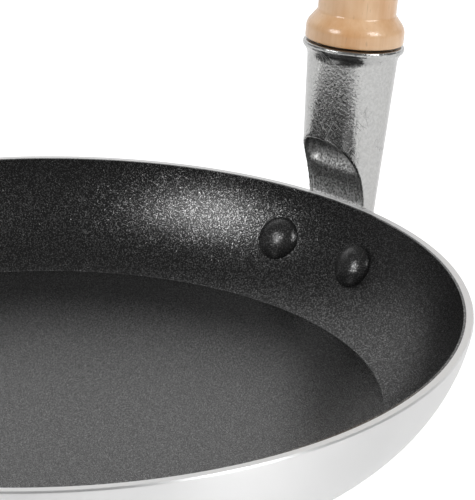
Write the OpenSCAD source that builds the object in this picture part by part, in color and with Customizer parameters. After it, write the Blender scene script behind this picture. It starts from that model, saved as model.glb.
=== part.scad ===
// Shallow one-portion omelette pan: a black-lined aluminium dish with an upright handle.
// The origin is the centre of the underside, +Z is up and the handle stands on the +X side.
// Lengths marked "along the handle" run up its leaning axis from the height of the rim.

/* [Pan] */
// Radius of the rim's outer edge
rim_r = 82.5; // [82:0.1:83]
// Height of the rim above the worktop
pan_h = 22.3; // [21:0.1:24]
// Thickness of the pressed aluminium sheet
sheet_t = 1.8; // [1.6:0.1:2]
// Thickness of the black lining, drawn several times thicker than the real one
lining_t = 0.2; // [0.1:0.05:0.3]
// Radius of the wall's outside curve
wall_r = 32.15; // [31.5:0.05:33]
// Height of the wall curve's centre above the rim
wall_rise = 5.7; // [5.4:0.1:6]
// Width of the bevel on the rim's outer edge
rim_bevel = 0.2; // [0.1:0.05:0.3]

/* [Rivets] */
// Angle of each rivet from the handle's plane, seen from above
rivet_angle = 8.15; // [7.8:0.05:8.6]
// Depth of the rivets below the rim
rivet_drop = 10.25; // [9.8:0.05:10.8]
// Radius of the domed head inside the pan
head_r = 4.65; // [4.3:0.05:4.9]
// Height of the domed head
head_h = 2.75; // [2.5:0.05:3.2]
// Radius of the shank
shank_r = 2.5; // [2:0.1:3]
// Radius of the hammered head outside
tail_r = 4; // [3.6:0.1:4.4]
// Height of the hammered head
tail_h = 1.8; // [1.4:0.1:2.2]

/* [Handle socket] */
// Distance of the handle's axis from the pan's axis, at the height of the rim
handle_x = 81.95; // [81.6:0.05:82.2]
// Lean of the handle away from the pan
lean = 6.1; // [5.5:0.1:7]
// Radius of the socket at the height of the rim
socket_r = 7.8; // [7.6:0.02:8]
// Growth of the socket's radius for each mm up the handle
socket_taper = 0.0483; // [0.045:0.0001:0.052]
// Length of the socket, along the handle, to the top of its lip
socket_l = 33.5; // [32:0.1:35]
// Radius of the socket's lip
lip_r = 10.4; // [10.2:0.1:10.6]
// Thickness of the riveting wings
wing_t = 2.6; // [2.2:0.1:3]
// Width of the two wings together
wing_w = 36.4; // [34:0.2:38]
// Height of the wings
wing_h = 16; // [14:0.5:17]

/* [Hollow above the rim] */
// Radius of the curved face that meets the rim
face_r = 22; // [21:0.1:23]
// Thickness of the edge left round the hollow
edge_t = 0.65; // [0.6:0.05:1]
// Depth of the shallow pocket inside that edge
pocket_d = 0.35; // [0.3:0.05:0.6]
// Radius of the scoop under the overhang
scoop_r = 4.9; // [4.7:0.05:5]

/* [Wooden grip] */
// Length of the grip
grip_l = 114; // [106:1:120]
// Radius of the bead at the grip's foot
bead_r = 10.1; // [10:0.05:10.4]
// Radius of the neck above the bead
neck_r = 8.05; // [7.9:0.05:8.3]
// Radius of the grip's thickest part
belly_r = 10.8; // [10:0.1:11.5]

/* [Tie rod and ring] */
// Radius of the threaded rod
rod_r = 2.45; // [2.4:0.05:2.5]
// Radius of the eye's wire
eye_wire_r = 2.2; // [2:0.1:2.3]
// Radius of the eye, to the middle of its wire
eye_r = 5; // [4.8:0.1:5.4]
// Radius of the ring's wire
ring_wire_r = 1.4; // [1.2:0.1:1.5]
// Radius of the ring, to the middle of its wire
ring_r = 14.5; // [14:0.1:15]
// Angle between the ring and the grip where the ring leans on the grip
ring_rest = 23; // [22.5:0.5:27]

/* [Hidden] */

$fn = 96;
fine = 240; // facets of the pan's large curves
over = 1; // how far a cutter runs past the face that it opens

// The wall's section is one arc. Its centre lies inside the pan, above the rim.
wall_cx = rim_r - sqrt(pow(wall_r, 2) - pow(wall_rise, 2));
wall_cz = pan_h + wall_rise;
inner_r = wall_r - sheet_t;
lining_r = inner_r - lining_t;
floor_z = sheet_t + lining_t;

// The rivets stand square to the lining's face.
rivet_fall = asin((wall_cz - pan_h + rivet_drop) / lining_r);
wing_back = sheet_t + lining_t + wing_t;
wing_end_r = wing_h / 2;
wing_z = pan_h - rivet_drop - 0.6;
shank_clear = 0.05;

// The tang's back is one arc, tangent to the socket's back at the rim.
back_lean = lean + atan(socket_taper);
back_r = 26;
back_x = handle_x + socket_r / cos(lean);

// Places along the handle
socket_foot = -22;
face_low = -2.7; // where the curved face is parallel to the handle
face_in = 0.45; // how far that place lies in front of the handle's axis
pocket_top = 9.5;
scoop_in = 6.6; // the scoop's centre in front of the axis
scoop_z = 9.55;
scoop_half_w = 7.2;
scoop_edge_r = 2.4; // rounding between the scoop and its two ends
cove_r = 3.2;
cove_z = 30;
lip_edge_r = 0.4;
spigot_r = 7;
spigot_l = 11.6;
spigot_clear = 0.1;
thread_l = 8;
thread_clear = 0.05;

// Places along the grip
grip_gap = 0.4;
grip_z = socket_l + grip_gap;
foot_bevel = 0.3;
bead_z = 2.2; // top of the bead's straight band
bead_round = 3; // radius of the bead's edge
shoulder_turn = 38; // how far the edge turns before the straight shoulder
grip_cove_r = 1;
shoulder_z = bead_z + bead_round * sin(shoulder_turn);
shoulder_r = bead_r - bead_round * (1 - cos(shoulder_turn));
shoulder_h = (shoulder_r - neck_r - grip_cove_r * (1 - cos(shoulder_turn))) / tan(shoulder_turn);
neck_z = shoulder_z + shoulder_h + grip_cove_r * sin(shoulder_turn);
belly_z = 12; // where the neck begins to widen
end_neck_z = grip_l - 11;
end_neck_r = 8.7;
knob_r = 9.6;
knob_z = grip_l - 5.2;
knob_round = 4.4;
grip_bore_r = 2.8;

washer_r = 7;
washer_t = 1.2;
eye_z = grip_z + grip_l + washer_t + eye_r + eye_wire_r;
eye_clear = 0.2;
ring_z = eye_z - eye_r + eye_wire_r + eye_clear + ring_wire_r;

// Section of the space inside a wall arc of radius r, from low to high
module bowl_section(r, low, high) {
  intersection() {
    translate([wall_cx, wall_cz]) circle(r = r, $fn = fine);
    translate([0, low]) square([2 * rim_r, high - low]);
  }
  translate([0, low]) square([wall_cx, high - low]);
}

module bowl(r, low, high) {
  rotate_extrude($fn = fine) bowl_section(r, low, high);
}

// Everything outside a wall arc of radius r
module outside(r, low) {
  rotate_extrude($fn = fine)
    difference() {
      translate([0, -over]) square([rim_r + 2 * over, pan_h + 2 * over]);
      bowl_section(r, low, pan_h + 4 * over);
    }
}

// Stands children on the lining at a rivet, with +Z into the pan
module at_rivet(side) {
  rotate([0, 0, side * rivet_angle])
    translate([wall_cx + lining_r * cos(rivet_fall), 0, pan_h - rivet_drop])
      rotate([0, rivet_fall - 90, 0])
        children();
}

// Stands children on the handle's axis at the height of the rim
module on_handle() {
  translate([handle_x, 0, pan_h]) rotate([0, lean, 0]) children();
}

// A bar across the handle with the section drawn by its children: x is away from the pan, y is up
module across(half_w) {
  translate([0, half_w, 0]) rotate([90, 0, 0]) linear_extrude(2 * half_w) children();
}

module dome(r, h) {
  ball = (r * r + h * h) / (2 * h);
  intersection() {
    translate([0, 0, h - ball]) sphere(r = ball);
    translate([0, 0, h - ball]) cylinder(r = r, h = ball + over);
  }
}

module rivet_holes() {
  for (side = [-1, 1])
    at_rivet(side)
      translate([0, 0, -wing_back - 2 * over])
        cylinder(r = shank_r + shank_clear, h = wing_back + 4 * over);
}

module pan_body() {
  color("gainsboro")
    difference() {
      rotate_extrude($fn = fine)
        difference() {
          bowl_section(wall_r, 0, pan_h);
          bowl_section(inner_r, sheet_t, pan_h + over);
          polygon([[rim_r - rim_bevel, pan_h], [rim_r + rim_bevel, pan_h - 4 * rim_bevel],
                   [rim_r + rim_bevel, pan_h + over], [rim_r - rim_bevel, pan_h + over]]);
        }
      rivet_holes();
    }
}

module nonstick_lining() {
  color("dimgray")
    difference() {
      rotate_extrude($fn = fine)
        difference() {
          bowl_section(inner_r, sheet_t, pan_h);
          bowl_section(lining_r, floor_z, pan_h + over);
        }
      rivet_holes();
    }
}

// Domed head inside, shank through the wall and the wing, hammered head outside
module rivet(side) {
  color("black") {
    difference() {
      at_rivet(side) {
        dome(head_r, head_h);
        translate([0, 0, -over]) cylinder(r = head_r, h = over + 0.4);
      }
      outside(lining_r, floor_z);
    }
    at_rivet(side)
      translate([0, 0, -wing_back - tail_h / 2])
        cylinder(r = shank_r, h = wing_back + tail_h / 2 + over);
    difference() {
      at_rivet(side)
        translate([0, 0, -wing_back]) mirror([0, 0, 1]) {
          dome(tail_r, tail_h);
          translate([0, 0, -over]) cylinder(r = tail_r, h = over + 0.2);
        }
      bowl(wall_r + wing_t, -2 * wall_r, pan_h + over);
    }
  }
}

// Two wings that hug the outside of the wall
module wings() {
  end_y = wing_w / 2 - wing_end_r;
  intersection() {
    bowl(wall_r + wing_t, 0, pan_h);
    translate([wall_cx, 0, wing_z])
      rotate([90, 0, 90])
        linear_extrude(wall_r + 4 * wing_t) {
          for (side = [-1, 1])
            translate([side * end_y, 0]) circle(r = wing_end_r);
          square([2 * end_y, wing_h], center = true);
        }
  }
}

// The tapered body with its lip, from its foot below the rim to the top of the lip
module socket_body() {
  top_r = socket_r + socket_taper * cove_z;
  rotate_extrude() {
    polygon([[0, socket_foot], [socket_r + socket_taper * socket_foot, socket_foot],
             [top_r, cove_z], [top_r, socket_l], [0, socket_l]]);
    difference() {
      translate([0, cove_z]) square([lip_r, socket_l - lip_edge_r - cove_z]);
      translate([top_r + cove_r, cove_z]) circle(r = cove_r);
    }
    translate([lip_r - lip_edge_r, socket_l - lip_edge_r]) circle(r = lip_edge_r, $fn = 48);
    translate([0, socket_l - 2 * lip_edge_r]) square([lip_r - lip_edge_r, 2 * lip_edge_r]);
  }
}

// Everything in front of the tang's rounded back, and everything above the rim
module tang_limits() {
  translate([back_x - back_r * cos(back_lean), 0, pan_h + back_r * sin(back_lean)])
    rotate([90, 0, 0])
      cylinder(r = back_r, h = 3 * lip_r, center = true, $fn = fine);
  translate([handle_x - 3 * lip_r, -3 * lip_r, pan_h])
    cube([8 * lip_r, 6 * lip_r, 2 * socket_l]);
}

// Section of the curved face, or of a pocket as deep as depth below it
module face_section(depth) {
  translate([-face_in - face_r, face_low]) circle(r = face_r + depth, $fn = fine);
}

// Keeps what its children have above the rim
module above_rim() {
  intersection() {
    children();
    translate([0, -2 * socket_r, pan_h]) cube([2 * rim_r, 4 * socket_r, socket_l]);
  }
}

// What lies inside the thin edge of the hollow
module inside_edge() {
  low = -over;
  high = pocket_top + scoop_r;
  translate([0, 0, low])
    cylinder(r1 = socket_r - edge_t + socket_taper * low,
             r2 = socket_r - edge_t + socket_taper * high, h = high - low);
}

// A bar across the handle with rounded ends
module scoop() {
  translate([-scoop_in, 0, scoop_z]) rotate([90, 0, 0])
    rotate_extrude() {
      translate([0, -scoop_half_w]) square([scoop_r - scoop_edge_r, 2 * scoop_half_w]);
      translate([0, scoop_edge_r - scoop_half_w]) square([scoop_r, 2 * (scoop_half_w - scoop_edge_r)]);
      for (side = [-1, 1])
        translate([scoop_r - scoop_edge_r, side * (scoop_half_w - scoop_edge_r)])
          circle(r = scoop_edge_r);
    }
}

// What the hollow takes away: the curved face, then the pocket and the scoop inside its edge
module hollow() {
  above_rim() on_handle() across(2 * socket_r) face_section(0);
  above_rim()
    on_handle()
      intersection() {
        across(2 * socket_r) face_section(pocket_d);
        inside_edge();
        translate([-2 * socket_r, -2 * socket_r, -2 * over]) cube([4 * socket_r, 4 * socket_r, pocket_top + 2 * over]);
      }
  on_handle()
    intersection() {
      scoop();
      inside_edge();
    }
}

// One casting: wings, tang and socket
module handle_socket() {
  color("silver")
    difference() {
      union() {
        intersection() {
          on_handle() socket_body();
          tang_limits();
        }
        wings();
      }
      bowl(wall_r, -over, pan_h);
      hollow();
      rivet_holes();
      on_handle() {
        translate([0, 0, socket_l - spigot_l]) cylinder(r = spigot_r, h = spigot_l + over);
        translate([0, 0, socket_l - spigot_l - thread_l])
          cylinder(r = rod_r + thread_clear, h = thread_l + over);
      }
    }
}

// Radius of the turned grip between its two necks: a long belly
function belly(z) =
  let (t = (z - belly_z) / (end_neck_z - belly_z))
  neck_r + (end_neck_r - neck_r) * t + (belly_r - (neck_r + end_neck_r) / 2) * pow(sin(180 * t), 1.5);

// Points on an arc round [x, z], from angle a to angle b
function arc(x, z, r, a, b, steps = 6) =
  [for (i = [0:steps]) let (t = a + (b - a) * i / steps) [x + r * cos(t), z + r * sin(t)]];

module grip_section() {
  belly_steps = 24;
  polygon(concat(
    [[0, 0], [bead_r - foot_bevel, 0], [bead_r, foot_bevel]],
    arc(bead_r - bead_round, bead_z, bead_round, 0, shoulder_turn),
    arc(neck_r + grip_cove_r, neck_z, grip_cove_r, 180 + shoulder_turn, 180),
    [for (i = [0:belly_steps - 1])
      let (z = belly_z + (end_neck_z - belly_z) * i / belly_steps) [belly(z), z]],
    [[end_neck_r, end_neck_z], [knob_r, end_neck_z + 2]],
    arc(knob_r - knob_round, knob_z, knob_round, 0, 90),
    [[0, grip_l]]));
}

module wooden_grip() {
  color("burlywood")
    on_handle() translate([0, 0, grip_z])
      difference() {
        union() {
          rotate_extrude() grip_section();
          translate([0, 0, -grip_gap - spigot_l + over])
            cylinder(r = spigot_r - spigot_clear, h = spigot_l + grip_gap);
        }
        translate([0, 0, -spigot_l]) cylinder(r = grip_bore_r, h = grip_l + 2 * spigot_l);
      }
}

module end_washer() {
  color("lightgray")
    on_handle() translate([0, 0, grip_z + grip_l])
      difference() {
        cylinder(r = washer_r, h = washer_t);
        translate([0, 0, -over]) cylinder(r = grip_bore_r, h = washer_t + 2 * over);
      }
}

// A rod that screws into the socket and pulls the grip down on it, with an eye at its top
module eye_bolt() {
  color("lightgray")
    on_handle() {
      rod_foot = socket_l - spigot_l - thread_l + over / 2;
      translate([0, 0, rod_foot])
        cylinder(r = rod_r, h = eye_z - eye_r - rod_foot);
      translate([0, 0, eye_z]) rotate([90, 0, 0])
        rotate_extrude() translate([eye_r, 0]) circle(r = eye_wire_r, $fn = 48);
    }
}

// The ring passes through the eye and leans on the outer side of the grip
module hanging_ring() {
  color("lightgray")
    on_handle() translate([0, 0, ring_z])
      rotate([0, 180 - ring_rest, 0])
        translate([0, 0, ring_r]) rotate([0, 90, 0])
          rotate_extrude() translate([ring_r, 0]) circle(r = ring_wire_r, $fn = 48);
}

module handle_rivet_left() { rivet(1); }
module handle_rivet_right() { rivet(-1); }

pan_body();
nonstick_lining();
handle_rivet_left();
handle_rivet_right();
handle_socket();
wooden_grip();
end_washer();
eye_bolt();
hanging_ring();
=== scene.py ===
import math

import bpy
from mathutils import Matrix, Vector


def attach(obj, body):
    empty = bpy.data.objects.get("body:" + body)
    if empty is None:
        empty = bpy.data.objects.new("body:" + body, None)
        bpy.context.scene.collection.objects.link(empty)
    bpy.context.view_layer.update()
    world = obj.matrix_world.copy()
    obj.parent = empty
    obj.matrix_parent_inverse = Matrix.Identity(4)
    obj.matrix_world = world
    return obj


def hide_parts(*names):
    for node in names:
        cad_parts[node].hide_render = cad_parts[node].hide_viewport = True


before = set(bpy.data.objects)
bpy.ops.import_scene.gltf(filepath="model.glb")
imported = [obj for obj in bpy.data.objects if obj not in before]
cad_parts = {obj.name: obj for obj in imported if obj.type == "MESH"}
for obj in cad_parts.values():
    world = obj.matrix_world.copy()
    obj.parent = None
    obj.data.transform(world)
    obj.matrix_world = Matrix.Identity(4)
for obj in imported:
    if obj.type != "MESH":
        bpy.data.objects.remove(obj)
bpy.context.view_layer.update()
mm = 0.001


# small helpers

def toLinear(hexColour):
    # "#rrggbb" as seen on a screen, to the linear values Blender works in
    parts = [int(hexColour[i:i + 2], 16) / 255 for i in (1, 3, 5)]
    return [c / 12.92 if c <= 0.04045 else ((c + 0.055) / 1.055) ** 2.4 for c in parts] + [1.0]


def addNode(tree, kind, settings=None, links=None):
    # settings holds node properties and socket values, links the outputs that feed its sockets
    node = tree.nodes.new(kind)
    for key, value in (settings or {}).items():
        if isinstance(key, str) and hasattr(node, key):
            setattr(node, key, value)
        else:
            node.inputs[key].default_value = value
    for key, source in (links or {}).items():
        tree.links.new(source, node.inputs[key])
    return node


def newMaterial(name, settings):
    material = bpy.data.materials.new(name)
    material.use_nodes = True
    tree = material.node_tree
    shader = tree.nodes["Principled BSDF"]
    for key, value in settings.items():
        shader.inputs[key].default_value = value
    return material, tree, shader


def deselectAll():
    if bpy.context.object and bpy.context.object.mode == "EDIT":
        bpy.ops.object.mode_set(mode="OBJECT")
    bpy.ops.object.select_all(action="DESELECT")


def pickPiece(piece):
    deselectAll()
    piece.select_set(True)
    bpy.context.view_layer.objects.active = piece


def drawProfile(name, points):
    # a small plane merged to one vertex, which is then extruded along the profile (radius, height)
    deselectAll()
    bpy.ops.mesh.primitive_plane_add(size=mm, location=(0, 0, 0))
    piece = bpy.context.object
    piece.name = piece.data.name = name
    bpy.ops.object.mode_set(mode="EDIT")
    bpy.ops.mesh.select_all(action="SELECT")
    bpy.ops.mesh.merge(type="CENTER")
    last = Vector((points[0][0] * mm, 0, points[0][1] * mm))
    bpy.ops.transform.translate(value=last)
    for r, z in points[1:]:
        place = Vector((r * mm, 0, z * mm))
        bpy.ops.mesh.extrude_vertices_move(TRANSFORM_OT_translate={"value": place - last})
        last = place
    return piece


def turnProfile(name, points, steps, closed=False):
    # the profile turned once round Z, as on a lathe
    piece = drawProfile(name, points)
    if closed:
        bpy.ops.object.mode_set(mode="OBJECT")
        ends = [Vector((r * mm, 0, z * mm)) for r, z in (points[0], points[-1])]
        for vertex in piece.data.vertices:
            vertex.select = min((vertex.co - end).length for end in ends) < 1e-4 * mm
        bpy.ops.object.mode_set(mode="EDIT")
        bpy.ops.mesh.edge_face_add()
    bpy.ops.mesh.select_all(action="SELECT")
    bpy.ops.mesh.spin(steps=steps, angle=2 * math.pi, center=(0, 0, 0), axis=(0, 0, 1))
    bpy.ops.mesh.select_all(action="SELECT")
    bpy.ops.mesh.remove_doubles(threshold=0.002 * mm)
    bpy.ops.mesh.normals_make_consistent(inside=False)
    bpy.ops.object.mode_set(mode="OBJECT")
    return piece


def placeMesh(piece, matrix):
    # puts the place in the mesh and leaves the object at the origin
    piece.data.transform(matrix)
    piece.data.update()


def smoothByAngle(piece, degrees):
    pickPiece(piece)
    bpy.ops.object.shade_smooth_by_angle(angle=math.radians(degrees))


def applyModifier(piece, kind, settings):
    pickPiece(piece)
    modifier = piece.modifiers.new(kind.title(), kind)
    for key, value in settings.items():
        setattr(modifier, key, value)
    bpy.ops.object.modifier_apply(modifier=modifier.name)


def finishPiece(piece, body, slot, material, *nodes):
    piece.data.materials.clear()
    piece.data.materials.append(material)
    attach(piece, body)
    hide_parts(*nodes)


def arcPoints(cx, cz, r, fromDeg, toDeg, count):
    # count points on an arc about (cx, cz), angles from +X towards +Z
    angles = [math.radians(fromDeg + (toDeg - fromDeg) * i / (count - 1)) for i in range(count)]
    return [(cx + r * math.cos(a), cz + r * math.sin(a)) for a in angles]


# camera: a long lens, 21 degrees down on the pan, in mm and degrees
camera = {
    "place": (-311.63, -373.63, 219.35),
    "turn": -44.3,
    "pitch": 21.048,
    "roll": 0.674,
    "lens": 200,
    "sensor": 36,
}


def makeCamera():
    data = bpy.data.cameras.new("photoCamera")
    data.lens = camera["lens"]
    data.sensor_width = camera["sensor"]
    data.clip_start = 0.01
    data.clip_end = 20
    thing = bpy.data.objects.new("photoCamera", data)
    bpy.context.scene.collection.objects.link(thing)
    look = (Matrix.Rotation(math.radians(camera["turn"]), 4, "Z")
            @ Matrix.Rotation(math.radians(90 - camera["pitch"]), 4, "X")
            @ Matrix.Rotation(math.radians(camera["roll"]), 4, "Z"))
    thing.matrix_world = Matrix.Translation(Vector(camera["place"]) * mm) @ look
    bpy.context.scene.camera = thing


makeCamera()
print("camera ready")


# spun aluminium: pressed sheet sanded as it turns, so that its shine spreads up and down but not round the pan
spun = {
    "colour": "#e7e7e7",
    "satin": 0.44,
    "grain": 0.85,  # how much the sanding marks stretch the shine
    "facedRough": 0.62,  # the rim's flat top, turned with a fine tool
    "facedGrain": 0.2,
    "rimHeight": 22.25,  # above this the metal is the rim's flat top
    "markSpacing": 0.35,  # turning marks, real ones are 0.1 to 0.2 mm apart, drawn coarser so that they show
}


def makeSpunAluminium():
    material, tree, shader = newMaterial("spunAluminium", {
        "Base Color": toLinear(spun["colour"]), "Metallic": 1.0, "Anisotropic Rotation": 0.25})
    coord = addNode(tree, "ShaderNodeTexCoord")
    place = addNode(tree, "ShaderNodeSeparateXYZ", links={0: coord.outputs["Object"]})
    flat = addNode(tree, "ShaderNodeVectorMath", {"operation": "MULTIPLY", 1: (1, 1, 0)},
                   {0: coord.outputs["Object"]})
    radius = addNode(tree, "ShaderNodeVectorMath", {"operation": "LENGTH"}, {0: flat.outputs[0]})
    # the same at every angle round the pan, so that the marks run round it
    across = addNode(tree, "ShaderNodeCombineXYZ", links={0: radius.outputs["Value"], 1: place.outputs["Z"]})
    marks = addNode(tree, "ShaderNodeTexNoise",
                    {"Scale": 1 / (spun["markSpacing"] * mm), "Detail": 3, "Roughness": 0.6},
                    {"Vector": across.outputs[0]})
    wear = addNode(tree, "ShaderNodeTexNoise", {"Scale": 60, "Detail": 4}, {"Vector": coord.outputs["Object"]})
    satin = addNode(tree, "ShaderNodeMapRange",
                    {1: 0.35, 2: 0.65, 3: spun["satin"] - 0.03, 4: spun["satin"] + 0.04}, {0: wear.outputs["Fac"]})
    onRim = addNode(tree, "ShaderNodeMath", {"operation": "GREATER_THAN", 1: spun["rimHeight"] * mm},
                    {0: place.outputs["Z"]})
    rough = addNode(tree, "ShaderNodeMix", {"data_type": "FLOAT", 3: spun["facedRough"]},
                    {0: onRim.outputs[0], 2: satin.outputs[0]})
    grain = addNode(tree, "ShaderNodeMix", {"data_type": "FLOAT", 2: spun["grain"], 3: spun["facedGrain"]},
                    {0: onRim.outputs[0]})
    turning = addNode(tree, "ShaderNodeTangent", {"direction_type": "RADIAL", "axis": "Z"})
    bump = addNode(tree, "ShaderNodeBump", {"Strength": 0.12, "Distance": 0.01 * mm}, {"Height": marks.outputs["Fac"]})
    tree.links.new(rough.outputs[0], shader.inputs["Roughness"])
    tree.links.new(grain.outputs[0], shader.inputs["Anisotropic"])
    tree.links.new(turning.outputs[0], shader.inputs["Tangent"])
    tree.links.new(bump.outputs[0], shader.inputs["Normal"])
    return material


# nonstick coating with metal flake, sprayed and baked: black satin, with fine glints where light falls on it
coating = {
    "name": "flakedNonstick",
    "resin": "#1a1a1a",
    "gloss": 0.25,
    "skinTilt": 0.16,  # the flakes lift the film over them, so its own shine is grainy too
    "flakeRough": 0.28,
    # fine flakes that give the sheen, and the few large ones that glint one by one; real ones are about
    # 0.02 and 0.1 mm, drawn coarser so that they show
    "flakes": (
        {"width": 0.1, "share": 0.1, "size": 1.0, "tilt": 0.25, "colour": "#9a9a9a"},
        {"width": 0.17, "share": 0.05, "size": 0.34, "tilt": 0.5, "colour": "#a2a2a2"},
    ),
    "floorTop": 2.04,
    "floorFiner": 0.6,  # on the flat floor the flake settles evenly and looks finer
}
# the same coating over the rivet heads, where it flows smoother and hides most of the flake
rivetCoating = dict(coating, name="coatedRivet", resin="#262626", gloss=0.24, skinTilt=0.12, flakes=(
    {"width": 0.1, "share": 0.11, "size": 1.0, "tilt": 0.26, "colour": "#808080"},
))


def leanNormal(tree, normal, cells, reach):
    # turns the normal by each cell's own random lean, reach being a number or an output
    lean = addNode(tree, "ShaderNodeVectorMath", {"operation": "SUBTRACT", 1: (0.5, 0.5, 0.5)},
                   {0: cells.outputs["Color"]})
    leaning = addNode(tree, "ShaderNodeVectorMath", {"operation": "SCALE"}, {0: lean.outputs[0]})
    if isinstance(reach, float):
        leaning.inputs["Scale"].default_value = reach
    else:
        tree.links.new(reach, leaning.inputs["Scale"])
    turned = addNode(tree, "ShaderNodeVectorMath", {"operation": "ADD"}, {0: normal, 1: leaning.outputs[0]})
    return addNode(tree, "ShaderNodeVectorMath", {"operation": "NORMALIZE"}, {0: turned.outputs[0]}).outputs[0]


def makeNonstick(look):
    material, tree, shader = newMaterial(look["name"], {
        "Specular IOR Level": 0.0, "Coat Weight": 1.0, "Coat Roughness": look["gloss"], "Coat IOR": 1.4})
    coord = addNode(tree, "ShaderNodeTexCoord")
    surface = addNode(tree, "ShaderNodeNewGeometry")
    place = addNode(tree, "ShaderNodeSeparateXYZ", links={0: coord.outputs["Object"]})
    onWall = addNode(tree, "ShaderNodeMath", {"operation": "GREATER_THAN", 1: look["floorTop"] * mm},
                     {0: place.outputs["Z"]})
    resin = addNode(tree, "ShaderNodeRGB")
    resin.outputs[0].default_value = toLinear(look["resin"])
    colour, normal, metal = resin.outputs[0], surface.outputs["Normal"], None
    skin = None
    for flakes in look["flakes"]:
        perMetre = 1 / (flakes["width"] * mm)
        scale = addNode(tree, "ShaderNodeMapRange", {1: 0, 2: 1, 3: perMetre / look["floorFiner"], 4: perMetre},
                        {0: onWall.outputs[0]})
        cells = addNode(tree, "ShaderNodeTexVoronoi",
                        links={"Vector": coord.outputs["Object"], "Scale": scale.outputs[0]})
        if skin is None:
            skin = leanNormal(tree, normal, cells, look["skinTilt"])
        chance = addNode(tree, "ShaderNodeTexWhiteNoise", {"noise_dimensions": "3D"}, {"Vector": cells.outputs["Color"]})
        chosen = addNode(tree, "ShaderNodeMath", {"operation": "GREATER_THAN", 1: 1 - flakes["share"]},
                         {0: chance.outputs["Value"]})
        near = addNode(tree, "ShaderNodeMath", {"operation": "LESS_THAN", 1: flakes["size"]},
                       {0: cells.outputs["Distance"]})
        isFlake = addNode(tree, "ShaderNodeMath", {"operation": "MULTIPLY"},
                          {0: chosen.outputs[0], 1: near.outputs[0]})
        colour = addNode(tree, "ShaderNodeMix", {"data_type": "RGBA", 7: toLinear(flakes["colour"])},
                         {0: isFlake.outputs[0], 6: colour}).outputs[2]
        # each flake lies its own way
        reach = addNode(tree, "ShaderNodeMath", {"operation": "MULTIPLY", 1: flakes["tilt"]}, {0: isFlake.outputs[0]})
        normal = leanNormal(tree, normal, cells, reach.outputs[0])
        if metal is None:
            metal = isFlake.outputs[0]
        else:
            metal = addNode(tree, "ShaderNodeMath", {"operation": "MAXIMUM"}, {0: metal, 1: isFlake.outputs[0]}).outputs[0]
    rough = addNode(tree, "ShaderNodeMapRange", {1: 0, 2: 1, 3: 0.5, 4: look["flakeRough"]}, {0: metal})
    tree.links.new(colour, shader.inputs["Base Color"])
    tree.links.new(metal, shader.inputs["Metallic"])
    tree.links.new(rough.outputs[0], shader.inputs["Roughness"])
    tree.links.new(normal, shader.inputs["Normal"])
    tree.links.new(skin, shader.inputs["Coat Normal"])
    return material


# die-cast aluminium, tumbled with stones: bright grey, full of fine dents, with stray scratches;
# the stones don't reach into the hollow, which stays dull and specked as cast; its grey also carries
# painted light at the hollow's foot and painted shade up in the scoop
cast = {
    "colour": "#c0c0bf",
    "cloudy": "#b6b6b5",  # the grey varies a little over the skin
    "rough": 0.17,
    "hollowRough": 0.42,
    # painted light and shade on the cast skin in the hollow, as heights and a share of the colour:
    # a painted light band at the foot, painted shade in the scoop
    "footPaintedLight": (1.0, 1.9),
    "facePaintedShade": (5.0, 0.95),
    "scoopPaintedShade": ((8.0, 1.0), (11.0, 0.75)),
    "dentWidth": 0.36,
    "dentDepth": 0.0135,
    "hollowDents": 1.3,  # how much deeper the cast skin's grain is in the hollow
    "waveWidth": 0.6,
    "waveDepth": 0.03,
    "scratchFacing": 215,  # the side that faces the camera, degrees round the handle
    "scratchLeans": (50, -42, 24),  # degrees from the vertical
    "scratchDepth": 0.02,
    "scratchRough": 0.55,
    "place": (81.95, 0, 22.3),
    "lean": 6.1,
    "bodyR": 7.8,
    "taper": 0.0483,
}


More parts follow.
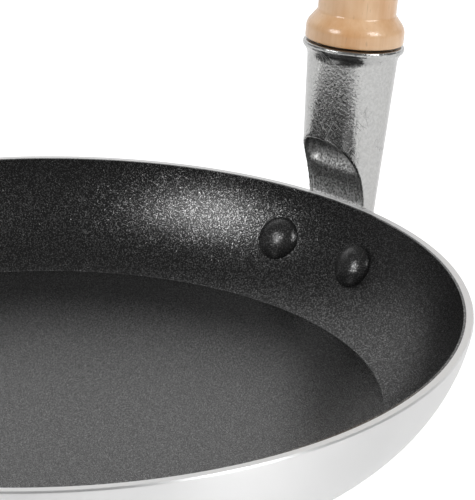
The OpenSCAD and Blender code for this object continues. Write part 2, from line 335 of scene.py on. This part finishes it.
def makeCastAluminium():
    material, tree, shader = newMaterial("castAluminium", {"Metallic": 1.0})
    coord = addNode(tree, "ShaderNodeTexCoord")
    dents = addNode(tree, "ShaderNodeTexNoise",
                    {"Scale": 1 / (cast["dentWidth"] * mm), "Detail": 0.5},
                    {"Vector": coord.outputs["Object"]})
    waves = addNode(tree, "ShaderNodeTexNoise", {"Scale": 1 / (cast["waveWidth"] * mm), "Detail": 2},
                    {"Vector": coord.outputs["Object"]})
    cloud = addNode(tree, "ShaderNodeMapRange", {1: 0.38, 2: 0.62, 3: 0, 4: 1}, {0: waves.outputs["Fac"]})
    grey = addNode(tree, "ShaderNodeMix", {"data_type": "RGBA", 6: toLinear(cast["cloudy"]), 7: toLinear(cast["colour"])},
                   {0: cloud.outputs[0]})
    # how deep a place lies below the socket's tapered outside, in metres: the hollow and the bore
    local = addNode(tree, "ShaderNodeMapping",
                    {"vector_type": "TEXTURE", "Location": [c * mm for c in cast["place"]],
                     "Rotation": (0, math.radians(cast["lean"]), 0)}, {"Vector": coord.outputs["Object"]})
    flat = addNode(tree, "ShaderNodeVectorMath", {"operation": "MULTIPLY", 1: (1, 1, 0)}, {0: local.outputs[0]})
    radius = addNode(tree, "ShaderNodeVectorMath", {"operation": "LENGTH"}, {0: flat.outputs[0]})
    height = addNode(tree, "ShaderNodeSeparateXYZ", links={0: local.outputs[0]})
    outside = addNode(tree, "ShaderNodeMath", {"operation": "MULTIPLY_ADD", 1: cast["taper"], 2: cast["bodyR"] * mm},
                      {0: height.outputs["Z"]})
    depth = addNode(tree, "ShaderNodeMath", {"operation": "SUBTRACT"},
                    {0: outside.outputs[0], 1: radius.outputs["Value"]})
    inHollow = addNode(tree, "ShaderNodeMapRange", {1: 0.25 * mm, 2: 0.6 * mm, 3: 0, 4: 1}, {0: depth.outputs[0]})
    polished = addNode(tree, "ShaderNodeMapRange", {1: 0.3, 2: 0.75, 3: cast["rough"] - 0.04, 4: cast["rough"] + 0.1},
                       {0: dents.outputs["Fac"]})
    dull = addNode(tree, "ShaderNodeMapRange",
                   {1: 0.3, 2: 0.7, 3: cast["hollowRough"] - 0.1, 4: cast["hollowRough"] + 0.1},
                   {0: dents.outputs["Fac"]})
    specksAndPaintedShade = addNode(tree, "ShaderNodeMapRange", {1: 0.3, 2: 0.7, 3: 0.45, 4: 1.55}, {0: dents.outputs["Fac"]})
    # the hollow's grey by height: painted light at the foot, painted shade in the scoop
    for (low, lowPainted), (high, highPainted) in ((cast["footPaintedLight"], cast["facePaintedShade"]), cast["scoopPaintedShade"]):
        paintedByHeight = addNode(tree, "ShaderNodeMapRange", {1: low * mm, 2: high * mm, 3: lowPainted, 4: highPainted},
                           {0: height.outputs["Z"]})
        specksAndPaintedShade = addNode(tree, "ShaderNodeMath", {"operation": "MULTIPLY"},
                        {0: specksAndPaintedShade.outputs[0], 1: paintedByHeight.outputs[0]})
    # the cast specks, lightened and darkened by the painted light and shade
    speckedAndPainted = addNode(tree, "ShaderNodeVectorMath", {"operation": "SCALE"}, {0: grey.outputs[2], "Scale": specksAndPaintedShade.outputs[0]})
    grey = addNode(tree, "ShaderNodeMix", {"data_type": "RGBA"},
                   {0: inHollow.outputs[0], 6: grey.outputs[2], 7: speckedAndPainted.outputs[0]})
    rough = addNode(tree, "ShaderNodeMix", {"data_type": "FLOAT"},
                    {0: inHollow.outputs[0], 2: polished.outputs[0], 3: dull.outputs[0]})
    normal = addNode(tree, "ShaderNodeBump", {"Strength": 1.0, "Distance": cast["waveDepth"] * mm},
                     {"Height": waves.outputs["Fac"]})
    # only the noise's crests dent the metal, so that it stays flat between them
    pits = addNode(tree, "ShaderNodeMapRange", {"interpolation_type": "SMOOTHSTEP", 1: 0.56, 2: 0.8, 3: 0, 4: 1},
                   {0: dents.outputs["Fac"]})
    deep = addNode(tree, "ShaderNodeMapRange", {
        1: 0, 2: 1, 3: cast["dentDepth"] * mm, 4: cast["dentDepth"] * cast["hollowDents"] * mm},
        {0: inHollow.outputs[0]})
    normal = addNode(tree, "ShaderNodeBump", {"Strength": 1.0},
                     {"Height": pits.outputs[0], "Distance": deep.outputs[0], "Normal": normal.outputs[0]})
    facing = math.radians(cast["scratchFacing"])
    scratched = None
    for i, lean in enumerate(cast["scratchLeans"]):
        # the edges of long cells, left here and there in patches
        turned = addNode(tree, "ShaderNodeVectorRotate",
                         {"rotation_type": "AXIS_ANGLE", "Axis": (math.cos(facing), math.sin(facing), 0),
                          "Angle": math.radians(lean)}, {"Vector": coord.outputs["Object"]})
        along = addNode(tree, "ShaderNodeMapping", {"Scale": (800, 800, 30)}, {"Vector": turned.outputs[0]})
        away = addNode(tree, "ShaderNodeTexVoronoi", {"feature": "DISTANCE_TO_EDGE", "Scale": 1.0},
                       {"Vector": along.outputs[0]})
        line = addNode(tree, "ShaderNodeMapRange", {1: 0.01, 2: 0.03, 3: 1, 4: 0}, {0: away.outputs["Distance"]})
        moved = addNode(tree, "ShaderNodeMapping", {"Location": (i * 0.1, 0, 0)}, {"Vector": turned.outputs[0]})
        patches = addNode(tree, "ShaderNodeTexNoise", {"Scale": 170, "Detail": 1}, {"Vector": moved.outputs[0]})
        here = addNode(tree, "ShaderNodeMapRange", {1: 0.6, 2: 0.66, 3: 0, 4: 1}, {0: patches.outputs["Fac"]})
        shown = addNode(tree, "ShaderNodeMath", {"operation": "MULTIPLY"}, {0: line.outputs[0], 1: here.outputs[0]})
        if scratched is None:
            scratched = shown
        else:
            scratched = addNode(tree, "ShaderNodeMath", {"operation": "MAXIMUM"},
                                {0: scratched.outputs[0], 1: shown.outputs[0]})
    normal = addNode(tree, "ShaderNodeBump",
                     {"Strength": 1.0, "Distance": cast["scratchDepth"] * mm, "invert": True},
                     {"Height": scratched.outputs[0], "Normal": normal.outputs[0]})
    rough = addNode(tree, "ShaderNodeMix", {"data_type": "FLOAT", 3: cast["scratchRough"]},
                    {0: scratched.outputs[0], 2: rough.outputs[0]})
    tree.links.new(grey.outputs[2], shader.inputs["Base Color"])
    tree.links.new(rough.outputs[0], shader.inputs["Roughness"])
    tree.links.new(normal.outputs[0], shader.inputs["Normal"])
    return material


# beech, turned and sanded, under clear lacquer: even peach, with faint lengthwise fibres and short ray flecks
beech = {
    "pale": "#eec59a",
    "deep": "#d9a26b",
    "lean": 6.1,  # the grip's lean, so that the fibres run along it
    "fibre": (1500, 1500, 45),  # 0.7 mm across the grain, 20 mm along it
    "band": (260, 260, 12),
    "fleck": (2300, 2300, 420),
    "cloud": 7.0,  # width of the warmer patches
}


def makeBeech():
    material, tree, shader = newMaterial("lacqueredBeech", {
        "Roughness": 0.5, "IOR": 1.5, "Coat Weight": 1.0, "Coat Roughness": 0.16, "Coat IOR": 1.5})
    coord = addNode(tree, "ShaderNodeTexCoord")
    upright = addNode(tree, "ShaderNodeMapping", {"Rotation": (0, -math.radians(beech["lean"]), 0)},
                      {"Vector": coord.outputs["Object"]})
    layers = []
    for scale, detail in ((beech["fibre"], 3), (beech["band"], 2), (beech["fleck"], 1)):
        along = addNode(tree, "ShaderNodeMapping", {"Scale": scale}, {"Vector": upright.outputs[0]})
        layers.append(addNode(tree, "ShaderNodeTexNoise", {"Scale": 1.0, "Detail": detail}, {"Vector": along.outputs[0]}))
    fibre, band, fleck = layers
    cloud = addNode(tree, "ShaderNodeTexNoise", {"Scale": 1 / (beech["cloud"] * mm), "Detail": 2},
                    {"Vector": coord.outputs["Object"]})
    both = addNode(tree, "ShaderNodeMath", {"operation": "MULTIPLY_ADD", 1: 0.3},
                   {0: fibre.outputs["Fac"], 2: band.outputs["Fac"]})
    both = addNode(tree, "ShaderNodeMath", {"operation": "MULTIPLY_ADD", 1: 0.8},
                   {0: cloud.outputs["Fac"], 2: both.outputs[0]})
    tone = addNode(tree, "ShaderNodeMapRange", {1: 0.72, 2: 1.25, 3: 0, 4: 1}, {0: both.outputs[0]})
    wood = addNode(tree, "ShaderNodeMix", {"data_type": "RGBA", 6: toLinear(beech["deep"]), 7: toLinear(beech["pale"])},
                   {0: tone.outputs[0]})
    dark = addNode(tree, "ShaderNodeMapRange", {1: 0.66, 2: 0.78, 3: 0, 4: 0.28}, {0: fleck.outputs["Fac"]})
    flecked = addNode(tree, "ShaderNodeMix", {"data_type": "RGBA", 7: toLinear("#8e6440")},
                      {0: dark.outputs[0], 6: wood.outputs[2]})
    grain = addNode(tree, "ShaderNodeBump", {"Strength": 0.3, "Distance": 0.02 * mm}, {"Height": fibre.outputs["Fac"]})
    ripple = addNode(tree, "ShaderNodeBump", {"Strength": 1.0, "Distance": 0.04 * mm}, {"Height": fleck.outputs["Fac"]})
    tree.links.new(ripple.outputs[0], shader.inputs["Coat Normal"])
    tree.links.new(flecked.outputs[2], shader.inputs["Base Color"])
    tree.links.new(grain.outputs[0], shader.inputs["Normal"])
    return material


# steel wire with bright nickel plate: a warm mirror, with faint draw marks and handling marks
nickel = {
    "colour": "#cfccc5",
    "rough": 0.14,
}


def makeNickel():
    material, tree, shader = newMaterial("nickelPlate", {"Base Color": toLinear(nickel["colour"]), "Metallic": 1.0})
    coord = addNode(tree, "ShaderNodeTexCoord")
    marks = addNode(tree, "ShaderNodeTexNoise", {"Scale": 900, "Detail": 4}, {"Vector": coord.outputs["Object"]})
    rough = addNode(tree, "ShaderNodeMapRange", {1: 0.35, 2: 0.7, 3: nickel["rough"] - 0.04, 4: nickel["rough"] + 0.12},
                    {0: marks.outputs["Fac"]})
    bump = addNode(tree, "ShaderNodeBump", {"Strength": 0.12, "Distance": 0.04 * mm}, {"Height": marks.outputs["Fac"]})
    tree.links.new(rough.outputs[0], shader.inputs["Roughness"])
    tree.links.new(bump.outputs[0], shader.inputs["Normal"])
    return material


spunAluminium = makeSpunAluminium()
flakedNonstick = makeNonstick(coating)
coatedRivet = makeNonstick(rivetCoating)
castAluminium = makeCastAluminium()
lacqueredBeech = makeBeech()
nickelPlate = makeNickel()
print("materials ready")


# the pan: one arc for the wall, flat floor, flat bare rim (radii and heights in mm)
pan = {
    "rimR": 82.5,
    "height": 22.3,
    "sheet": 1.8,
    "lining": 0.2,
    "wallR": 32.15,
    "wallRise": 5.7,
    "bevelW": 0.2,  # the rim's outer edge is broken with a steep bevel
    "bevelH": 0.4,
    "wrap": 0.28,  # how far the coating laps over the rim's inner edge
    "footRound": 0.5,
    "creaseR": 0.8,  # the wall starts from the floor at a crisp line
    "steps": 288,
}
wallCx = pan["rimR"] - math.sqrt(pan["wallR"] ** 2 - pan["wallRise"] ** 2)
wallCz = pan["height"] + pan["wallRise"]


def wallAngle(r, z):
    # angle of the wall arc of radius r at height z, degrees from +X
    return -math.degrees(math.asin((wallCz - z) / r))


def wallPoints(r, low, high, count):
    return arcPoints(wallCx, wallCz, r, wallAngle(r, low), wallAngle(r, high), count)


def wallRadius(r, z):
    return wallCx + math.sqrt(r ** 2 - (wallCz - z) ** 2)


def makePanBody():
    inner = pan["wallR"] - pan["sheet"]
    top, wrap = pan["height"], pan["wrap"]
    shoulderZ = top - pan["bevelH"]
    shoulderR = wallRadius(pan["wallR"], shoulderZ)
    outside = wallPoints(pan["wallR"], pan["footRound"] * 0.45, shoulderZ - 0.03, 48)
    footR = outside[0][0]
    profile = [(0, 0), (30, 0), (60, 0), (footR - 1.2, 0), (footR - 0.5, 0.06)]
    profile += outside
    profile += [(shoulderR - 0.01, shoulderZ + 0.02), (shoulderR - pan["bevelW"] + 0.02, top - 0.03),
                (shoulderR - pan["bevelW"] - 0.03, top)]
    profile += [(wallRadius(inner, top) + wrap, top)]
    profile += list(reversed(wallPoints(inner, pan["sheet"], top - wrap, 44)))
    profile += [(60, pan["sheet"]), (30, pan["sheet"]), (0, pan["sheet"])]
    piece = turnProfile("panBody", profile, pan["steps"])
    smoothByAngle(piece, 20)
    finishPiece(piece, "pan", "spun_aluminium", spunAluminium, "pan_body")


def makeLining():
    back = pan["wallR"] - pan["sheet"]
    face = back - pan["lining"]
    floorZ = pan["sheet"] + pan["lining"]
    top, wrap, creaseR = pan["height"], pan["wrap"], pan["creaseR"]
    # the fillet touches the floor and, from inside, the wall's arc
    creaseZ = floorZ + creaseR
    creaseX = wallCx + math.sqrt((face - creaseR) ** 2 - (wallCz - creaseZ) ** 2)
    meet = -math.degrees(math.atan2(wallCz - creaseZ, creaseX - wallCx))
    profile = [(0, floorZ), (20, floorZ), (45, floorZ), (58, floorZ)]
    profile += arcPoints(creaseX, creaseZ, creaseR, -90, meet, 6)
    profile += arcPoints(wallCx, wallCz, face, meet + 0.5, wallAngle(face, top), 56)
    profile += [(wallRadius(back, top) + wrap, top)]
    profile += list(reversed(wallPoints(back, pan["sheet"], top - wrap, 30)))
    profile += [(45, pan["sheet"]), (0, pan["sheet"])]
    piece = turnProfile("nonstickLining", profile, pan["steps"])
    smoothByAngle(piece, 35)
    finishPiece(piece, "pan", "nonstick_black", flakedNonstick, "nonstick_lining")


makePanBody()
makeLining()
print("pan and lining turned")


# the two rivets, square to the wall (mm and degrees)
rivet = {
    "angle": 8.15,
    "drop": 10.25,
    "headR": 4.65,
    "headH": 2.75,
    "shankR": 2.5,
    "tailR": 4.0,
    "tailH": 1.8,
    "wing": 2.6,
    "steps": 96,
}


def headPoints(r, h, count):
    # from the foot of a rounded head up to its crown: half an ellipse, steep at its edge
    angles = [math.pi / 2 * i / (count - 1) for i in range(count)]
    return [(r * math.cos(a), h * math.sin(a)) for a in angles]


def rivetMatrix(side):
    liningR = pan["wallR"] - pan["sheet"] - pan["lining"]
    fall = math.asin((wallCz - pan["height"] + rivet["drop"]) / liningR)
    place = Vector((wallCx + liningR * math.cos(fall), 0, pan["height"] - rivet["drop"])) * mm
    return (Matrix.Rotation(math.radians(side * rivet["angle"]), 4, "Z") @ Matrix.Translation(place)
            @ Matrix.Rotation(fall - math.pi / 2, 4, "Y"))


def makeRivet(name, side, node):
    back = pan["sheet"] + pan["lining"] + rivet["wing"]
    head = headPoints(rivet["headR"], rivet["headH"], 24)
    tail = [(r, -back - z) for r, z in headPoints(rivet["tailR"], rivet["tailH"], 14)]
    profile = list(reversed(tail))
    profile += [(rivet["tailR"], -back + 0.25), (rivet["shankR"], -back + 0.25), (rivet["shankR"], -0.4),
                (rivet["headR"] - 0.15, -0.4), (rivet["headR"], -0.1)]
    profile += head
    piece = turnProfile(name, profile, rivet["steps"])
    outer = {face.index for face in piece.data.polygons if face.center.z < -back * mm}
    placeMesh(piece, rivetMatrix(side))
    smoothByAngle(piece, 40)
    finishPiece(piece, "pan", "rivet_black", coatedRivet, node)
    # the outer end stays bare
    piece.data.materials.append(spunAluminium)
    for face in piece.data.polygons:
        face.material_index = 1 if face.index in outer else 0


makeRivet("rivetLeft", 1, "handle_rivet_left")
makeRivet("rivetRight", -1, "handle_rivet_right")
print("rivets set")


# the handle stands on an axis that leans away from the pan, measured from the height of the rim
handle = {
    "x": 81.95,
    "lean": 6.1,
}


def handleMatrix(along=0.0):
    return (Matrix.Translation(Vector((handle["x"], 0, pan["height"])) * mm)
            @ Matrix.Rotation(math.radians(handle["lean"]), 4, "Y")
            @ Matrix.Translation(Vector((0, 0, along)) * mm))


# the socket: a copy of the casting, remeshed finely so that its sharp edges wear round as tumbling does
socket = {
    "voxel": 0.26,
    "softening": 2,
    "hollowSoftening": 43,  # the corners of the scoop are cast round
    "hollowHeights": (4, 13.5),
    "hollowDepth": 0.5,
}


def makeSocket():
    deselectAll()
    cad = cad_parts["handle_socket"]
    piece = cad.copy()
    piece.data = cad.data.copy()
    piece.name = piece.data.name = "handleSocket"
    for key in list(piece.keys()):
        del piece[key]
    bpy.context.scene.collection.objects.link(piece)
    piece.parent = None
    pickPiece(piece)
    bpy.ops.object.mode_set(mode="EDIT")
    bpy.ops.mesh.select_all(action="SELECT")
    bpy.ops.mesh.remove_doubles(threshold=0.005 * mm)
    bpy.ops.object.mode_set(mode="OBJECT")
    applyModifier(piece, "REMESH", {"mode": "VOXEL", "voxel_size": socket["voxel"] * mm})
    applyModifier(piece, "SMOOTH", {"factor": 0.5, "iterations": socket["softening"]})
    # the hollow lies inside the tapered outside
    toHandle = handleMatrix().inverted()
    low, high = socket["hollowHeights"]
    inside = []
    for vertex in piece.data.vertices:
        x, y, z = (toHandle @ vertex.co) / mm
        if low < z < high and math.hypot(x, y) < cast["bodyR"] + cast["taper"] * z - socket["hollowDepth"]:
            inside.append(vertex.index)
    piece.vertex_groups.new(name="hollow").add(inside, 1.0, "REPLACE")
    applyModifier(piece, "SMOOTH", {"factor": 0.5, "iterations": socket["hollowSoftening"],
                                    "vertex_group": "hollow"})
    piece.vertex_groups.clear()
    pickPiece(piece)
    bpy.ops.object.shade_smooth()
    finishPiece(piece, "pan", "cast_aluminium", castAluminium, "handle_socket")
    print("socket faces", len(piece.data.polygons))


makeSocket()
print("socket cast")


# the turned grip (radii and heights in mm, heights from its foot)
grip = {
    "foot": 33.9,
    "length": 114,
    "beadR": 10.1,
    "bandTop": 2.2,
    "edgeR": 3.0,
    "shoulderTurn": 38,
    "coveR": 1.0,
    "neckR": 8.05,
    "bellyZ": 12,
    "bellyR": 10.8,
    "endNeckR": 8.7,
    "endNeckZ": 103,
    "knobR": 9.6,
    "knobZ": 108.8,
    "knobRound": 4.4,
    "boreR": 2.8,
    "spigotR": 6.9,
    "spigotL": 11.0,
    "steps": 160,
}


def bellyRadius(z):
    t = (z - grip["bellyZ"]) / (grip["endNeckZ"] - grip["bellyZ"])
    line = grip["neckR"] + (grip["endNeckR"] - grip["neckR"]) * t
    return line + (grip["bellyR"] - (grip["neckR"] + grip["endNeckR"]) / 2) * math.sin(math.pi * t) ** 1.5


def makeGrip():
    turn, bore, beadR, coveR = grip["shoulderTurn"], grip["boreR"], grip["beadR"], grip["coveR"]
    # the bead: a straight band, a rounded edge, a straight shoulder and a tight cove up to the neck
    sine, cosine = math.sin(math.radians(turn)), math.cos(math.radians(turn))
    rise = (beadR - grip["neckR"] - (grip["edgeR"] + coveR) * (1 - cosine)) * cosine / sine
    neckZ = grip["bandTop"] + grip["edgeR"] * sine + rise + coveR * sine
    profile = [(bore, -grip["spigotL"]), (grip["spigotR"] - 0.6, -grip["spigotL"]),
               (grip["spigotR"], 0.6 - grip["spigotL"]), (grip["spigotR"], 0)]
    profile += arcPoints(beadR - 0.4, 0.4, 0.4, -90, 0, 6)
    profile += arcPoints(beadR - grip["edgeR"], grip["bandTop"], grip["edgeR"], 0, turn, 10)
    profile += arcPoints(grip["neckR"] + coveR, neckZ, coveR, 180 + turn, 180, 8)
    count = 48
    span = grip["endNeckZ"] - grip["bellyZ"]
    heights = [grip["bellyZ"] + span * i / count for i in range(count + 1)]
    profile += [(grip["neckR"], neckZ + 2)]
    profile += [(bellyRadius(z), z) for z in heights]
    profile += [(grip["endNeckR"] + 0.3, grip["endNeckZ"] + 0.9), (grip["knobR"] - 0.25, grip["endNeckZ"] + 1.6),
                (grip["knobR"], grip["endNeckZ"] + 2.6)]
    profile += arcPoints(grip["knobR"] - grip["knobRound"], grip["knobZ"], grip["knobRound"], 0, 88, 12)
    profile += [(bore, grip["length"])]
    piece = turnProfile("woodenGrip", profile, grip["steps"], closed=True)
    placeMesh(piece, handleMatrix(grip["foot"]))
    smoothByAngle(piece, 40)
    finishPiece(piece, "pan", "lacquered_beech", lacqueredBeech, "wooden_grip")


makeGrip()
print("grip turned")


# washer, eye bolt and ring (mm)
fittings = {
    "washerR": 7.0,
    "washerT": 1.2,
    "rodFoot": 14.4,
    "rodR": 2.45,
    "threadDepth": 0.3,
    "threadPitch": 0.8,
    "threadTop": 24.0,
    "eyeR": 5.0,
    "eyeWireR": 2.2,
    "ringR": 14.5,
    "ringWireR": 1.4,
    "ringRest": 23.0,
    "play": 0.2,
}
washerZ = grip["foot"] + grip["length"]
eyeZ = washerZ + fittings["washerT"] + fittings["eyeR"] + fittings["eyeWireR"]
ringZ = eyeZ - fittings["eyeR"] + fittings["eyeWireR"] + fittings["play"] + fittings["ringWireR"]


def makeWasher():
    # a cupped washer: flat below, rolled edge, dished top
    r, t, bore = fittings["washerR"], fittings["washerT"], grip["boreR"]
    profile = [(bore, 0), (r - 0.2, 0), (r, 0.15), (r, 0.4), (r - 0.15, 0.62), (r - 0.5, 0.78), (r - 1.2, 0.98),
               (bore + 1.2, t), (bore + 0.2, t), (bore, t - 0.2)]
    piece = turnProfile("endWasher", profile, 96, closed=True)
    placeMesh(piece, handleMatrix(washerZ))
    smoothByAngle(piece, 30)
    finishPiece(piece, "pan", "plated_steel", nickelPlate, "end_washer")


def bendWire(name, wireR, sides, loopR, fromDeg, toDeg, steps):
    # a round face bent round the Y axis into an open loop; angles from +X towards +Z
    deselectAll()
    start = math.radians(fromDeg)
    bpy.ops.mesh.primitive_circle_add(vertices=sides, radius=wireR * mm, fill_type="NGON",
                                      location=(loopR * math.cos(start) * mm, 0, loopR * math.sin(start) * mm),
                                      rotation=(0, -start, 0))
    piece = bpy.context.object
    piece.name = piece.data.name = name
    bpy.ops.object.transform_apply(location=True, rotation=True, scale=True)
    bpy.ops.object.mode_set(mode="EDIT")
    bpy.ops.mesh.select_all(action="SELECT")
    bpy.ops.mesh.spin(steps=steps, angle=-math.radians(toDeg - fromDeg), center=(0, 0, 0), axis=(0, 1, 0))
    bpy.ops.mesh.select_all(action="SELECT")
    bpy.ops.mesh.remove_doubles(threshold=0.002 * mm)
    bpy.ops.mesh.normals_make_consistent(inside=False)
    bpy.ops.object.mode_set(mode="OBJECT")
    return piece


def roundEnds(piece, width):
    # bevels the sharp edges, here those of the wire's cut ends
    applyModifier(piece, "BEVEL", {"width": width * mm, "segments": 3, "limit_method": "ANGLE",
                                   "angle_limit": math.radians(60)})


def makeEyeBolt():
    # the eye is the rod's own wire, bent round until its end meets the rod again
    eye = bendWire("eyeBolt", fittings["eyeWireR"], 40, fittings["eyeR"], -62, 264, 96)
    roundEnds(eye, 0.35)
    placeMesh(eye, handleMatrix(eyeZ))
    foot, rodR, root = fittings["rodFoot"], fittings["rodR"], fittings["rodR"] - fittings["threadDepth"]
    neck = eyeZ - fittings["eyeR"] - fittings["eyeWireR"]
    profile = [(0, foot), (root - 0.3, foot)]
    z = foot + 0.4
    while z < fittings["threadTop"]:
        profile += [(root, z), (rodR, z + fittings["threadPitch"] * 0.4), (rodR, z + fittings["threadPitch"] * 0.55)]
        z += fittings["threadPitch"]
    profile += [(root, z), (rodR, z + 0.6), (rodR, neck), (rodR - 0.1, neck + 1.2), (rodR - 0.5, neck + 2.2),
                (rodR - 1.3, neck + 3.0), (0, neck + 3.2)]
    rod = turnProfile("rod", profile, 48)
    placeMesh(rod, handleMatrix())
    pickPiece(eye)
    rod.select_set(True)
    bpy.ops.object.join()
    smoothByAngle(eye, 40)
    finishPiece(eye, "pan", "plated_steel", nickelPlate, "eye_bolt")


def makeRing():
    # wire bent to a ring, its two cut ends butted together at the side
    ring = bendWire("hangingRing", fittings["ringWireR"], 28, fittings["ringR"], 151, 509.4, 160)
    roundEnds(ring, 0.2)
    turn = Matrix.Rotation(math.radians(180 - fittings["ringRest"]), 4, "Y")
    upright = Matrix.Rotation(math.pi / 2, 4, "Z")
    placeMesh(ring, handleMatrix(ringZ) @ turn @ Matrix.Translation((0, 0, fittings["ringR"] * mm)) @ upright)
    smoothByAngle(ring, 40)
    finishPiece(ring, "ring", "plated_steel", nickelPlate, "hanging_ring")


makeWasher()
makeEyeBolt()
makeRing()
print("fittings made")


# studio: a white table, two softboxes at equal angles beside the camera, a white backdrop and a dim room
studio = {
    "tableSize": 6.0,
    "table": "#f2f2f2",
    "cameraLift": 0.6,  # added where the camera sees the table, so that it reads as white
    "glossLift": 0.33,  # the same for what shines or lets light through
    "target": (0.04, 0.0, 0.03),
    "distance": 1.3,
    "boxSize": (0.46, 0.56),
    "boxPower": 7.4,
    "leftWay": (-0.8491, 0.1239, 0.5135),
    "rightWay": (0.151, -0.815, 0.559),
    "backdropWay": (0.6984, 0.7157, 0.35),
    "backdrop": 1.0,
    "room": 0.18,
}


def makeTable():
    deselectAll()
    bpy.ops.mesh.primitive_plane_add(size=studio["tableSize"], location=(0, 0, -0.02 * mm))
    table = bpy.context.object
    table.name = "table"
    material, tree, shader = newMaterial("whiteTable", {
        "Base Color": toLinear(studio["table"]), "Roughness": 0.9, "Specular IOR Level": 0.0,
        "Emission Color": (1, 1, 1, 1)})
    path = addNode(tree, "ShaderNodeLightPath")
    shown = addNode(tree, "ShaderNodeMath", {"operation": "MAXIMUM"},
                    {0: path.outputs["Is Glossy Ray"], 1: path.outputs["Is Transmission Ray"]})
    shown = addNode(tree, "ShaderNodeMath", {"operation": "MULTIPLY", 1: studio["glossLift"]}, {0: shown.outputs[0]})
    lift = addNode(tree, "ShaderNodeMath", {"operation": "MULTIPLY_ADD", 1: studio["cameraLift"]},
                   {0: path.outputs["Is Camera Ray"], 2: shown.outputs[0]})
    tree.links.new(lift.outputs[0], shader.inputs["Emission Strength"])
    table.data.materials.append(material)


def makeSoftbox(name, way):
    data = bpy.data.lights.new(name, "AREA")
    data.shape = "RECTANGLE"
    data.size, data.size_y = studio["boxSize"]
    data.energy = studio["boxPower"]
    light = bpy.data.objects.new(name, data)
    target = Vector(studio["target"])
    light.location = target + Vector(way).normalized() * studio["distance"]
    light.rotation_mode = "QUATERNION"
    light.rotation_quaternion = (target - light.location).to_track_quat("-Z", "Y")
    bpy.context.scene.collection.objects.link(light)


def makeRoom():
    world = bpy.data.worlds.new("studioRoom")
    bpy.context.scene.world = world
    world.use_nodes = True
    tree = world.node_tree
    background = tree.nodes["Background"]
    background.inputs["Color"].default_value = (1, 1, 1, 1)
    coord = addNode(tree, "ShaderNodeTexCoord")
    ahead = addNode(tree, "ShaderNodeVectorMath",
                    {"operation": "DOT_PRODUCT", 1: Vector(studio["backdropWay"]).normalized()},
                    {0: coord.outputs["Generated"]})
    level = addNode(tree, "ShaderNodeMapRange", {"interpolation_type": "SMOOTHSTEP", 1: 0.45, 2: 0.8,
                                                 3: studio["room"], 4: studio["backdrop"]},
                    {0: ahead.outputs["Value"]})
    path = addNode(tree, "ShaderNodeLightPath")
    strength = addNode(tree, "ShaderNodeMath", {"operation": "MAXIMUM"},
                       {0: path.outputs["Is Camera Ray"], 1: level.outputs[0]})
    tree.links.new(strength.outputs[0], background.inputs["Strength"])


makeTable()
makeSoftbox("leftSoftbox", studio["leftWay"])
makeSoftbox("rightSoftbox", studio["rightWay"])
makeRoom()
bpy.context.scene.view_settings.view_transform = "Standard"
print("studio ready")
